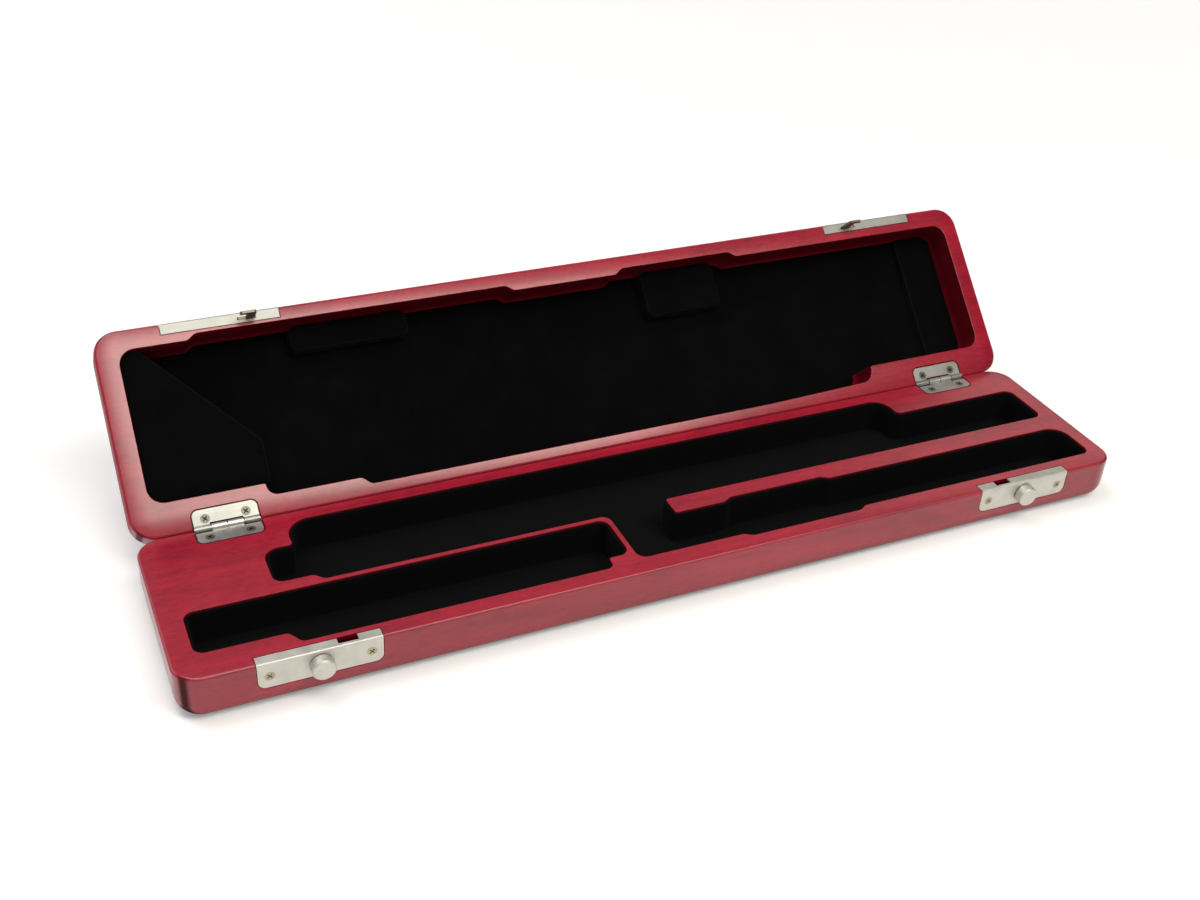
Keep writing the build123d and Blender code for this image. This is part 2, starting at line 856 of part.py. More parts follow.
for side in SIDES:
    front = front_plane(deck)
    notch_front = hook_front - hook_slot_front_gap
    notch_back = front_face + latch_flange_width + OVERRUN
    latch_plate = folded_plate(
        side, deck, DOWN, latch_flange_width, (notch_front, notch_back)
    )
    with latch_plate:
        with BuildSketch(front) as stem_slot:
            with Locations((inboard(side, latch_travel / 2), -latch_drop)):
                SlotCenterToCenter(latch_travel, stem_diameter + 2 * stem_clearance)
        extrude(
            stem_slot.sketch, amount=BEHIND * plate_thickness, mode=Mode.SUBTRACT
        )
    save(latch_plate, f"{side}_latch_plate")

    with BuildPart() as keeper:
        span = (inboard(side, -keeper_length / 2), inboard(side, keeper_length / 2))
        box_between(
            deck,
            span,
            (plate_back, keeper_back),
            (keeper_outside / 2 - latch_drop, -keeper_outside / 2 - latch_drop),
            Mode.ADD,
        )
        box_between(
            deck,
            span,
            (plate_back, keeper_inner),
            (keeper_inside / 2 - latch_drop, -keeper_inside / 2 - latch_drop),
            Mode.SUBTRACT,
        )
    save(keeper, f"{side}_latch_keeper")

    with BuildPart() as spring:
        bow = spring_room - spring_clearance - spring_thickness
        ends = (inboard(side, -spring_length / 2), inboard(side, spring_length / 2))
        with BuildSketch(deck.offset(-latch_drop - spring_height / 2)):
            with BuildLine():
                inner_arc = ThreePointArc(
                    (ends[0], keeper_inner),
                    (latch_xs[side], keeper_inner - bow),
                    (ends[1], keeper_inner),
                )
                outer_arc = ThreePointArc(
                    (ends[0], keeper_inner - spring_thickness),
                    (latch_xs[side], keeper_inner - bow - spring_thickness),
                    (ends[1], keeper_inner - spring_thickness),
                )
                Line(inner_arc @ 0, outer_arc @ 0)
                Line(inner_arc @ 1, outer_arc @ 1)
            make_face()
        extrude(amount=spring_height)
    save(spring, f"{side}_latch_spring")

    with BuildPart() as slider:
        box_between(
            deck,
            (inboard(side, -slider_outboard), inboard(side, slider_inboard)),
            (slider_front, slider_back),
            (slider_height / 2 - latch_drop, -slider_height / 2 - latch_drop),
            Mode.ADD,
        )
        box_between(
            deck,
            (inboard(side, slider_inboard), inboard(side, tooth_tip)),
            (slider_front, slider_back),
            (slider_height / 2 - latch_drop, -tooth_bottom),
            Mode.ADD,
        )
        with BuildSketch(front.offset(front_face - slider_front)):
            with Locations((latch_xs[side], -latch_drop)):
                Circle(tail_diameter / 2 + tail_clearance)
        extrude(amount=BEHIND * slider_thickness, mode=Mode.SUBTRACT)
    save(slider, f"{side}_latch_slider")

    with BuildPart() as knob:
        with BuildSketch(front.offset(knob_gap)):
            with Locations((latch_xs[side], -latch_drop)):
                Circle(knob_diameter / 2)
        extrude(amount=knob_height)
        chamfer(knob.edges().group_by(Axis.Y)[0], knob_chamfer)
        with BuildSketch(front.offset(knob_gap)):
            with Locations((latch_xs[side], -latch_drop)):
                Circle(stem_diameter / 2)
        extrude(amount=front_face - slider_front - knob_gap)
        with BuildSketch(front.offset(knob_gap)):
            with Locations((latch_xs[side], -latch_drop)):
                Circle(tail_diameter / 2)
        extrude(amount=front_face - slider_back - knob_gap)
    save(knob, f"{side}_latch_knob")

    catch_plate = folded_plate(
        side, rim, UP, catch_flange_width, (hook_front - hook_fit, hook_back + hook_fit)
    )
    save(catch_plate, f"{side}_catch_plate")

    with BuildPart() as hook:
        with BuildSketch(front_plane(rim).offset(front_face - hook_front)):
            with BuildLine():
                Polyline(
                    (inboard(side, hook_outboard), foot_top),
                    (inboard(side, hook_inboard), foot_top),
                    (inboard(side, hook_inboard), hook_tip_chamfer - hook_reach),
                    (inboard(side, hook_inboard - hook_tip_chamfer), -hook_reach),
                    (inboard(side, hook_outboard + hook_tip_chamfer), -hook_reach),
                    (inboard(side, hook_outboard), hook_tip_chamfer - hook_reach),
                    (inboard(side, hook_outboard), -rim_gap - nose_top),
                    (inboard(side, hook_outboard + hook_nose), -rim_gap - nose_top),
                    (inboard(side, hook_outboard + hook_nose), 0),
                    (inboard(side, hook_outboard), 0),
                    close=True,
                )
            make_face()
        extrude(amount=BEHIND * hook_thickness)
        box_between(
            rim,
            (inboard(side, hook_outboard), inboard(side, hook_inboard)),
            (hook_back, hook_foot_back),
            (plate_thickness, foot_top),
            Mode.ADD,
        )
    save(hook, f"{side}_catch_hook")


def plate_screws(level, into, label):
    """The four screws that hold two plates to one shell's front."""
    screws = countersunk_screws(
        front_plane(level),
        BEHIND,
        [place for side in SIDES for place in plate_places(side, into)],
        plate_screw_head,
        plate_screw_shank,
        plate_screw_length,
    )
    save(screws, label)


plate_screws(deck, DOWN, "latch_plate_screws")
plate_screws(rim, UP, "catch_plate_screws")
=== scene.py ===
"""The looks of a slim wooden carrying case with a lid, in metres.

Everything made for the lid is laid out as if the case were closed, and is then turned open
about the hinge.  Shading that goes by how a face lies, or how deep, closes the case first.
"""

import json
from math import cos, pi, radians, sin

import bmesh
import bpy
from mathutils import Euler, Matrix, Vector, geometry, noise


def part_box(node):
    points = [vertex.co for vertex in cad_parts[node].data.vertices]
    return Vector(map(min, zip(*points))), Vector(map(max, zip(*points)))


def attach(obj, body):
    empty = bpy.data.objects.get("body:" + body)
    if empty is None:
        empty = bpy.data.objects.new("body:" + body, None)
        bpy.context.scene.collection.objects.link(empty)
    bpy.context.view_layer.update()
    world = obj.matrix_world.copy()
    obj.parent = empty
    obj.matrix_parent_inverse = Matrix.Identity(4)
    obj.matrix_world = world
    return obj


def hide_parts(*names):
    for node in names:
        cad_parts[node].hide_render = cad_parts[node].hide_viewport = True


MM = 0.001

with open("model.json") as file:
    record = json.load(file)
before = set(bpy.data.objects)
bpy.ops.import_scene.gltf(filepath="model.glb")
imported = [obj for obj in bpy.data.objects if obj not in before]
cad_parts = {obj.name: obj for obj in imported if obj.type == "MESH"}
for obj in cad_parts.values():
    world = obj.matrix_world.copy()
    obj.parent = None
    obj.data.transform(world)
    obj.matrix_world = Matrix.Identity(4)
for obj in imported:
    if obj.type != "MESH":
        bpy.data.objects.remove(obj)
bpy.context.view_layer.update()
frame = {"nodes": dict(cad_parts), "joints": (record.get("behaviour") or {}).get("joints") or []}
nodes = frame["nodes"]

# Matrices that close the lid from where it stands at rest, and that open it again
lid_hinge = next(joint for joint in frame["joints"] if joint["name"] == "lid_hinge")
pivot = Vector(lid_hinge["pos_m"])
closed_angle = radians(lid_hinge["range_deg"][1])
closing = (
    Matrix.Translation(pivot)
    @ Matrix.Rotation(closed_angle, 4, Vector(lid_hinge["axis"]))
    @ Matrix.Translation(-pivot)
)
opening = closing.inverted()
STILL = Matrix.Identity(4)

# The closed case: its outline, the rim between its halves, and the hinges on both sides
half_length, half_width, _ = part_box("base_shell")[1]
rim_level = pivot.z
leaf_start, leaf_end = (corner.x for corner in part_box("right_hinge_base_leaf"))
hinge_along = (leaf_start + leaf_end) / 2

# Wood: near the outer edges its faces fall away by half the curve times the distance
# squared, and the depth below the rim tells its mortises from its bays
CROWN_WIDTH = 9.0 * MM
CROWN_CURVE = 14.0
EDGE_MARGIN = 1.3 * MM
EDGE_FADE = 1.0 * MM
# Mortise faces between these depths, and the grooves round the knuckles, get painted shade
MORTISE_START = 0.15 * MM
MORTISE_FULL = 0.40 * MM
MORTISE_FADE = 3.0 * MM
MORTISE_END = 4.0 * MM
GROOVE_RADIUS = 1.85 * MM
GROOVE_SIDE_FADE = 0.25 * MM
GROOVE_PAST_LEAF = 0.6 * MM
GROOVE_END_FADE = 0.2 * MM

# Metal: depths below the rim from which a face is a recess and may get painted shade
RECESS_START = 0.20 * MM
RECESS_FULL = 0.35 * MM

# Velvet in the bays
LINING_THICKNESS = 0.9 * MM
LINING_ROLL = 0.45 * MM
COVE = 1.1 * MM
LINING_WAVE = 0.12 * MM
WALL_WAVE_LENGTH = 14 * MM
FLOOR_WAVE_LENGTH = 9 * MM

# Velvet in the lid: a thin sheet, and blocks and pads with crowned faces
SHEET_EDGE = 0.35 * MM
SHEET_CROWN = 0.08 * MM
SOFT_EDGE = 1.2 * MM
BLOCK_CROWN = 0.5 * MM
PAD_CROWN = 0.6 * MM
CROWN_ROUNDING = 9 * MM
CROWN_UNEVENNESS = 0.15
CROWN_WAVE_LENGTH = 12 * MM
SIDE_DRAW = 0.35 * MM

# Fineness of the velvet's meshes, and tolerances in reading the frame's
OUTLINE_STEP = 1.0 * MM
FLOOR_STEP = 3.5 * MM
RING_STEPS = 5
ROLL_STEPS = 6
RIM_SKIP = 4
WELD_DISTANCE = 0.002 * MM
FLAT_WITHIN = 0.01 * MM
MERGE_DISTANCE = 0.001 * MM


# ---------------------------------------------------------------- node trees

# The Mix node's colour sockets, which share their names with its sockets for numbers
MIX_FIRST = 6
MIX_SECOND = 7
MIX_RESULT = 2


class Shader:
    """A node tree, built up one node at a time, with its surface or background node and
    the place or direction that it goes by."""

    def __init__(self, owner, surface, place):
        owner.use_nodes = True
        self.owner = owner
        self.tree = owner.node_tree
        self.surface = self.tree.nodes[surface]
        self.coordinates = self.add("ShaderNodeTexCoord")
        self.place = self.coordinates.outputs[place]

    @classmethod
    def material(cls, name, viewport):
        """A new material that goes by the place on the piece, and its viewport colour."""
        made = bpy.data.materials.new(name)
        made.diffuse_color = (*viewport, 1)
        return cls(made, "Principled BSDF", "Object")

    def add(self, kind, **settings):
        """A new node of this kind."""
        node = self.tree.nodes.new(kind)
        for name, value in settings.items():
            setattr(node, name, value)
        return node

    def link(self, source, target):
        self.tree.links.new(source, target)

    def put(self, value, target):
        """Link a socket to the target, or set a plain number or colour on it."""
        if hasattr(value, "is_linked"):
            self.link(value, target)
        elif target.type == "RGBA":
            target.default_value = (*value, 1)
        else:
            target.default_value = value

    def feed(self, value, name):
        """Link a socket to one of the surface's inputs."""
        self.link(value, self.surface.inputs[name])

    def set(self, **values):
        """Set plain values on the surface's inputs."""
        for name, value in values.items():
            self.surface.inputs[name.replace("_", " ")].default_value = value

    def math(self, operation, first, second=0.0, third=0.0):
        node = self.add("ShaderNodeMath", operation=operation)
        for value, target in zip((first, second, third), node.inputs):
            self.put(value, target)
        return node.outputs[0]

    def apart(self, first, second):
        """How far two numbers are apart."""
        return self.math("ABSOLUTE", self.math("SUBTRACT", first, second))

    def range(self, value, low, high, to_low=0.0, to_high=1.0):
        """The value taken from one range to another, and held at its ends."""
        node = self.add("ShaderNodeMapRange")
        for name, number in (
            ("From Min", low),
            ("From Max", high),
            ("To Min", to_low),
            ("To Max", to_high),
        ):
            node.inputs[name].default_value = number
        self.link(value, node.inputs["Value"])
        return node.outputs["Result"]

    def moved(self, vector, matrix, kind="POINT"):
        """A place or a direction on the piece after a turn about X and a shift."""
        mapping = self.add("ShaderNodeMapping", vector_type=kind)
        mapping.inputs["Rotation"].default_value = (matrix.to_euler().x, 0, 0)
        if kind == "POINT":
            mapping.inputs["Location"].default_value = matrix.translation
        self.link(vector, mapping.inputs["Vector"])
        return mapping.outputs["Vector"]

    def parts(self, vector):
        """The sizes of a vector's x, y and z, without their signs."""
        node = self.add("ShaderNodeSeparateXYZ")
        self.link(vector, node.inputs[0])
        return [self.math("ABSOLUTE", output) for output in node.outputs]

    def facing(self, matrix):
        """How far the surface faces along x, y and z once the matrix has turned it."""
        return self.parts(self.moved(self.coordinates.outputs["Normal"], matrix, "NORMAL"))

    def stretched(self, x, y, z):
        """The place on the piece, scaled along each axis."""
        scaled = self.add("ShaderNodeMapping")
        scaled.inputs["Scale"].default_value = (x, y, z)
        self.link(self.place, scaled.inputs["Vector"])
        return scaled.outputs["Vector"]

    def noise(self, scale, detail=3.0, roughness=0.5, distortion=0.0, place=None):
        """Noise over the piece, finer for a larger scale."""
        node = self.add("ShaderNodeTexNoise")
        node.inputs["Scale"].default_value = scale
        node.inputs["Detail"].default_value = detail
        node.inputs["Roughness"].default_value = roughness
        node.inputs["Distortion"].default_value = distortion
        self.link(self.place if place is None else place, node.inputs["Vector"])
        return node.outputs["Fac"]

    def grain(self, along, across, **settings):
        """Noise with one scale along X and another across it."""
        return self.noise(1.0, place=self.stretched(along, across, across), **settings)

    def ramp(self, value, stops):
        """A colour ramp through (position, colour) stops."""
        node = self.add("ShaderNodeValToRGB")
        elements = node.color_ramp.elements
        while len(elements) < len(stops):
            elements.new(0.5)
        for element, (position, colour) in zip(elements, stops):
            element.position = position
            element.color = (*colour, 1)
        self.link(value, node.inputs["Fac"])
        return node.outputs["Color"]

    def mix(self, factor, first, second, blend="MIX"):
        """Two colours mixed; factor, first and second are sockets or plain values."""
        node = self.add("ShaderNodeMix", data_type="RGBA", blend_type=blend)
        self.put(factor, node.inputs[0])
        self.put(first, node.inputs[MIX_FIRST])
        self.put(second, node.inputs[MIX_SECOND])
        return node.outputs[MIX_RESULT]

    def bump(self, height, distance, strength=1.0, under=None):
        """The directions of a face with this relief, on top of the bump under it."""
        node = self.add("ShaderNodeBump")
        node.inputs["Strength"].default_value = strength
        node.inputs["Distance"].default_value = distance
        self.link(height, node.inputs["Height"])
        if under is not None:
            self.link(under, node.inputs["Normal"])
        return node.outputs["Normal"]

    def rays(self, *names):
        """1 for a light path of one of the named kinds, 0 for others."""
        path = self.add("ShaderNodeLightPath")
        seen = path.outputs[names[0]]
        for name in names[1:]:
            seen = self.math("MAXIMUM", seen, path.outputs[name])
        return seen


# ---------------------------------------------------------------- wood

# Painted shade on cut faces and in the grooves goes towards this dark red, at this strength in
# the grooves; cut faces keep this share of lacquer
CUT_WOOD_PAINTED_SHADE = (0.045, 0.0009, 0.0030)
CUT_LACQUER = 0.2
GROOVE_SHADE = 0.9
RIPPLE_HEIGHT = 0.06 * MM
PORE_DEPTH = 0.05 * MM


def stained_grain(wood):
    """The colour of fine, red-stained wood, with the streaks and the pores in it."""
    figure = wood.grain(14, 62, detail=4, distortion=0.8)
    curl = wood.grain(120, 30, detail=2, roughness=0.55)
    mottle = wood.grain(210, 520, detail=3, roughness=0.65)
    streaks = wood.grain(16, 640, detail=4, roughness=0.62, distortion=0.25)
    fine = wood.grain(90, 2600, detail=2, roughness=0.6)
    pores = wood.grain(260, 3200, detail=1)
    colour = wood.ramp(
        figure,
        [
            (0.28, (0.225, 0.0055, 0.0190)),
            (0.50, (0.325, 0.0080, 0.0255)),
            (0.72, (0.395, 0.0115, 0.0315)),
        ],
    )
    # Each layer's mask, strength and colour
    layers = [
        (wood.range(mottle, 0.48, 0.70), 0.34, (0.165, 0.0045, 0.0140)),
        (wood.range(mottle, 0.50, 0.30), 0.30, (0.430, 0.0170, 0.0370)),
        (wood.range(streaks, 0.56, 0.74), 0.36, (0.120, 0.0035, 0.0115)),
        (wood.range(streaks, 0.44, 0.28), 0.22, (0.440, 0.0160, 0.0340)),
        (wood.range(curl, 0.42, 0.66), 0.16, (0.420, 0.0190, 0.0370)),
        (wood.range(fine, 0.40, 0.66), 0.22, (0.170, 0.0045, 0.0130)),
        (wood.range(pores, 0.64, 0.72), 0.40, (0.060, 0.0020, 0.0065)),
    ]
    for mask, strength, tint in layers:
        colour = wood.mix(wood.math("MULTIPLY", mask, strength), colour, tint)
    return colour, streaks, pores


def cut_faces(wood, along, across, depth, level):
    """1 on walls and in mortises inside the case's outline, 0 on its outer faces."""
    edge_along = half_length - EDGE_MARGIN
    edge_across = half_width - EDGE_MARGIN
    inside = wood.math(
        "MULTIPLY",
        wood.range(along, edge_along, edge_along - EDGE_FADE),
        wood.range(across, edge_across, edge_across - EDGE_FADE),
    )
    mortised = wood.math(
        "MULTIPLY",
        wood.range(depth, MORTISE_START, MORTISE_FULL),
        wood.range(depth, MORTISE_END, MORTISE_FADE),
    )
    upright = wood.range(level, 0.995, 0.90)
    return wood.math("MULTIPLY", inside, wood.math("MAXIMUM", mortised, upright))


def knuckle_grooves(wood, along):
    """1 in the grooves round the hinges' knuckles, 0 elsewhere."""
    axis_distance = wood.add("ShaderNodeVectorMath", operation="DISTANCE")
    axis_distance.inputs[1].default_value = (0, pivot.y, pivot.z)
    wood.link(wood.stretched(0, 1, 1), axis_distance.inputs[0])
    around = wood.range(
        axis_distance.outputs["Value"], GROOVE_RADIUS + GROOVE_SIDE_FADE, GROOVE_RADIUS
    )
    half = (leaf_end - leaf_start) / 2 + GROOVE_PAST_LEAF
    beside = wood.range(wood.apart(along, hinge_along), half + GROOVE_END_FADE, half)
    return wood.math("MULTIPLY", around, beside)


def crowned_faces(wood, along, across):
    """The direction of faces that are slightly crowned towards the case's outer edges."""
    beyond = [
        wood.math("MAXIMUM", wood.math("SUBTRACT", place, half - CROWN_WIDTH), 0.0)
        for place, half in ((along, half_length), (across, half_width))
    ]
    squares = [wood.math("MULTIPLY", distance, distance) for distance in beyond]
    drop = wood.math("MULTIPLY", wood.math("ADD", *squares), -1.0)
    return wood.bump(drop, CROWN_CURVE / 2)


def lacquered_wood(name, matrix, depths, painted_shades, end_lacquer):
    """Red-stained, fine-grained wood under a soft gloss lacquer, its grain along X.  The
    matrix closes the case.  Inner walls get painted shade, whose strength goes from one value
    to the other between two depths below the rim, and the two ends may have less lacquer."""
    wood = Shader.material(name, (0.34, 0.02, 0.04))
    wood.place = wood.moved(wood.place, matrix)
    along, across, height = wood.parts(wood.place)
    end, _, level = wood.facing(matrix)
    colour, streaks, pores = stained_grain(wood)

    # Cut faces and the grooves get painted shade, and hardly any lacquer
    depth = wood.apart(height, rim_level)
    cut = cut_faces(wood, along, across, depth, level)
    groove = knuckle_grooves(wood, along)
    shade = wood.math(
        "MAXIMUM",
        wood.math("MULTIPLY", cut, wood.range(depth, *depths, *painted_shades)),
        wood.math("MULTIPLY", groove, GROOVE_SHADE),
    )
    wood.feed(wood.mix(shade, colour, CUT_WOOD_PAINTED_SHADE), "Base Color")
    on_faces = wood.range(wood.math("MAXIMUM", cut, groove), 0, 1, 1.0, CUT_LACQUER)
    on_ends = wood.range(end, 0.80, 0.98, 1.0, end_lacquer)
    wood.feed(wood.math("MULTIPLY", on_ends, on_faces), "Coat Weight")

    smear = wood.grain(30, 60, detail=3)
    wood.feed(wood.range(smear, 0.3, 0.7, 0.34, 0.46), "Roughness")
    rounded = wood.math("PINGPONG", level, 0.5)
    wood.feed(wood.range(rounded, 0.03, 0.30, 0.24, 0.52), "Coat Roughness")
    crown = crowned_faces(wood, along, across)
    ripple = wood.bump(streaks, RIPPLE_HEIGHT, strength=0.35, under=crown)
    wood.feed(wood.bump(pores, PORE_DEPTH, strength=0.25, under=ripple), "Normal")
    wood.feed(crown, "Coat Normal")
    wood.set(Coat_IOR=1.6, Specular_IOR_Level=0.0)
    return wood.owner


# ---------------------------------------------------------------- velvet and metal

# Colour of the pale fibre tips, which the painted light over the whole cloth also goes towards,
# and colour of the painted sheen on sides
PALE_TIPS_AND_LIGHT = (0.0050, 0.0056, 0.0055)
PAINTED_SIDE_SHEEN = (0.0085, 0.0095, 0.0093)
PILE_HEIGHT = 0.25 * MM
GRAIN_HEIGHT = 0.02 * MM


def velvet(name, matrix, side_painted_sheen, painted_lightening):
    """Short black pile, almost without shine, with paler tips at random.  It may have a
    painted sheen on its sides and rounded edges, and painted light that makes it paler all over.
    The matrix closes the case."""
    cloth = Shader.material(name, (0.01, 0.01, 0.012))
    level = cloth.facing(matrix)[2]
    nap = cloth.noise(55, detail=4, roughness=0.6)
    pile = cloth.noise(2600, detail=2, roughness=0.7)
    brushed = cloth.ramp(
        nap,
        [
            (0.32, (0.0011, 0.0014, 0.0013)),
            (0.60, (0.0017, 0.0021, 0.0020)),
            (0.80, (0.0027, 0.0032, 0.0031)),
        ],
    )
    tips = cloth.range(pile, 0.52, 0.72)
    # Pale tips at random, plus painted light over the whole cloth
    tips_and_light = cloth.math("MULTIPLY_ADD", tips, 0.35, painted_lightening)
    pale = cloth.mix(tips_and_light, brushed, PALE_TIPS_AND_LIGHT)
    # Painted sheen: sides and rounded edges are paler
    sides = cloth.range(level, 0.92, 0.50, 0, side_painted_sheen)
    cloth.feed(cloth.mix(sides, pale, PAINTED_SIDE_SHEEN), "Base Color")
    cloth.feed(cloth.bump(pile, PILE_HEIGHT, strength=0.6), "Normal")
    cloth.set(
        Roughness=0.95,
        Specular_IOR_Level=0.04,
        Sheen_Weight=0.02,
        Sheen_Roughness=0.35,
        Sheen_Tint=(0.75, 0.85, 0.85, 1),
    )
    return cloth.owner


def nickel(name, colours, roughness, matrix=STILL, flat_face_painted_shade=1.0, sunk_painted_shade=1.0):
    """Nickel plate with a fine grain, its clear colour slightly tarnished in patches.  The
    matrix closes the case.  Faces that lie flat in it, and faces sunk below its rim, may get
    painted shade."""
    clear, tarnished = colours
    metal = Shader.material(name, clear)
    level = metal.facing(matrix)[2]
    depth = metal.apart(metal.parts(metal.moved(metal.place, matrix))[2], rim_level)
    # Painted shade on faces that lie flat in the closed case and on faces sunk below its rim
    shade = metal.math(
        "MULTIPLY",
        metal.range(level, 0.6, 0.9, 1.0, flat_face_painted_shade),
        metal.range(depth, RECESS_START, RECESS_FULL, 1.0, sunk_painted_shade),
    )
    patches = metal.noise(160, detail=4, roughness=0.6)
    grain = metal.grain(40, 1800, detail=3, roughness=0.6)
    plated = metal.ramp(patches, [(0.30, tarnished), (0.62, clear)])
    metal.feed(metal.mix(1.0, plated, shade, "MULTIPLY"), "Base Color")
    rough = metal.math(
        "ADD",
        metal.range(patches, 0.3, 0.7, roughness - 0.05, roughness + 0.06),
        metal.range(grain, 0.3, 0.7, -0.03, 0.03),
    )
    metal.feed(rough, "Roughness")
    metal.feed(metal.bump(grain, GRAIN_HEIGHT, strength=0.4), "Normal")
    metal.set(Metallic=1.0)
    return metal.owner


# ---------------------------------------------------------------- painted nodes

# Each metal's clear colour and its tarnished one
LATCH_COLOURS = ((0.64, 0.62, 0.565), (0.53, 0.515, 0.465))
CATCH_COLOURS = ((0.60, 0.59, 0.555), (0.49, 0.48, 0.45))
HINGE_COLOURS = ((0.58, 0.575, 0.54), (0.46, 0.455, 0.42))
HINGE_SCREW_COLOURS = ((0.30, 0.285, 0.25), (0.21, 0.195, 0.165))
PLATE_SCREW_COLOURS = ((0.46, 0.41, 0.31), (0.34, 0.30, 0.22))
STEEL_COLOURS = ((0.21, 0.19, 0.15), (0.12, 0.105, 0.085))
# Strength of the painted shade in the screws' recesses
RECESS_PAINTED_SHADE = 0.06


def paint(material, *names):
    """Give CAD nodes a material in place of their own."""
    for name in names:
        node = nodes[name]
        node.data.materials.clear()
        node.data.materials.append(material)


# Painted shade on inner walls: in the base it grows deeper down the mortises, and in the lid it
# is darkest near the rim and lighter towards the panel
base_wood = lacquered_wood(
    "base_lacquered_wood",
    STILL,
    depths=(0.4 * MM, 1.5 * MM),
    painted_shades=(0.60, 0.95),
    end_lacquer=1.0,
)
lid_wood = lacquered_wood(
    "lid_lacquered_wood",
    closing,
    depths=(11.0 * MM, 17.0 * MM),
    painted_shades=(0.74, 0.05),
    end_lacquer=0.35,
)
# The base's velvet gets painted light that makes it paler all over, and the lid's gets a painted
# sheen on its sides and rounded edges
base_velvet = velvet("base_black_velvet", STILL, side_painted_sheen=0.0, painted_lightening=0.5)
lid_velvet = velvet("black_velvet", closing, side_painted_sheen=0.8, painted_lightening=0.0)
# The catch plates, the lid's leaves and the lid's screws get painted shade on faces that lie
# flat in the closed case, and the screws get it in their recesses
latch_metal = nickel("satin_nickel", LATCH_COLOURS, 0.55)
catch_metal = nickel("catch_nickel", CATCH_COLOURS, 0.50, closing, flat_face_painted_shade=0.60)
base_hinge_metal = nickel("hinge_nickel", HINGE_COLOURS, 0.40)
lid_hinge_metal = nickel("lid_hinge_nickel", HINGE_COLOURS, 0.42, closing, flat_face_painted_shade=0.60)
base_screw_metal = nickel(
    "hinge_screw_nickel", HINGE_SCREW_COLOURS, 0.40, sunk_painted_shade=RECESS_PAINTED_SHADE
)
lid_screw_metal = nickel(
    "lid_screw_nickel",
    HINGE_SCREW_COLOURS,
    0.40,
    closing,
    flat_face_painted_shade=0.55,
    sunk_painted_shade=RECESS_PAINTED_SHADE,
)
plate_screw_metal = nickel("screw_nickel", PLATE_SCREW_COLOURS, 0.44)
dark_steel = nickel("plain_steel", STEEL_COLOURS, 0.46)

paint(base_wood, "base_shell")
paint(lid_wood, "lid_shell")
for side in ("left", "right"):
    paint(latch_metal, f"{side}_latch_plate", f"{side}_latch_knob")
    paint(catch_metal, f"{side}_catch_plate")
    paint(base_hinge_metal, f"{side}_hinge_base_leaf", f"{side}_hinge_pin")
    paint(lid_hinge_metal, f"{side}_hinge_lid_leaf")
    paint(dark_steel, f"{side}_catch_hook", f"{side}_latch_slider")
    paint(dark_steel, f"{side}_latch_keeper", f"{side}_latch_spring")
paint(base_screw_metal, "hinge_base_screws")
paint(lid_screw_metal, "hinge_lid_screws")
paint(plate_screw_metal, "latch_plate_screws", "catch_plate_screws")


# ---------------------------------------------------------------- outlines


def flat_outlines(node, facing, turn):
    """The closed outlines of a node's outermost flat face that looks up (1) or down (-1),
    as lists of (x, y) points, and the face's height, with the node turned first."""
    mesh = bmesh.new()
    mesh.from_mesh(nodes[node].data)
    bmesh.ops.transform(mesh, matrix=turn, verts=mesh.verts)
    bmesh.ops.remove_doubles(mesh, verts=mesh.verts, dist=WELD_DISTANCE)
    level = max(vert.co.z * facing for vert in mesh.verts) * facing
    flat = {
        face
        for face in mesh.faces
        if all(abs(vert.co.z - level) < FLAT_WITHIN for vert in face.verts)
    }
    rims = [
        edge
        for edge in mesh.edges
        if sum(face in flat for face in edge.link_faces) == 1
    ]
    neighbours = {}
    for edge in rims:
        for vert in edge.verts:
            neighbours.setdefault(vert, []).append(edge.other_vert(vert))
    loops = []
    while neighbours:
        start = next(iter(neighbours))
        loop = [start]
        before, here = start, neighbours[start][0]
        while here != start:
            loop.append(here)
            before, here = here, next(v for v in neighbours[here] if v != before)
        for vert in loop:
            del neighbours[vert]
        loops.append([Vector((vert.co.x, vert.co.y)) for vert in loop])
    mesh.free()
    return loops, level


def area(loop):
    """Signed area of a closed outline, positive anticlockwise."""
    return sum(a.cross(b) for a, b in zip(loop, loop[1:] + loop[:1])) / 2


def resampled(loop, step):
    """The outline anticlockwise, with evenly spaced points about a step apart."""
    if area(loop) < 0:
        loop = loop[::-1]
    lengths = [(b - a).length for a, b in zip(loop, loop[1:] + loop[:1])]
    count = round(sum(lengths) / step)
    spacing = sum(lengths) / count
    points = []
    travelled = 0.0
    for i, length in enumerate(lengths):
        following = loop[(i + 1) % len(loop)]
        while len(points) * spacing < travelled + length and len(points) < count:
            share = (len(points) * spacing - travelled) / length
            points.append(loop[i].lerp(following, share))
        travelled += length
    return points


def grown(loop, amount):
    """The outline moved outwards along its normals, or inwards for less than nothing."""
    moved = []
    for i, point in enumerate(loop):
        along = (loop[(i + 1) % len(loop)] - loop[i - 1]).normalized()
        moved.append(point + Vector((along.y, -along.x)) * amount)
    return moved


def wobble(place, size, seed):
    """A smooth unevenness between -1 and 1, with bumps about this size."""
    return noise.noise(Vector((*place, seed)) / size)


# ---------------------------------------------------------------- velvet pieces


def inside_points(loop, step, margin):
    """A staggered grid of points inside the outline, clear of its edge."""
    ys = [point.y for point in loop]
    row_step = step * sin(pi / 3)
    edge = grown(loop, -margin)
    points = []
    for row in range(int((max(ys) - min(ys)) / row_step) + 1):
        y = min(ys) + row * row_step
        crossings = sorted(
            a.x + (y - a.y) / (b.y - a.y) * (b.x - a.x)
            for a, b in zip(edge, edge[1:] + edge[:1])
            if (a.y > y) != (b.y > y)
        )
        for low, high in zip(crossings[::2], crossings[1::2]):
            x = low + (row % 2) * step / 2
            while x < high:
                points.append(Vector((x, y)))
                x += step
    return points


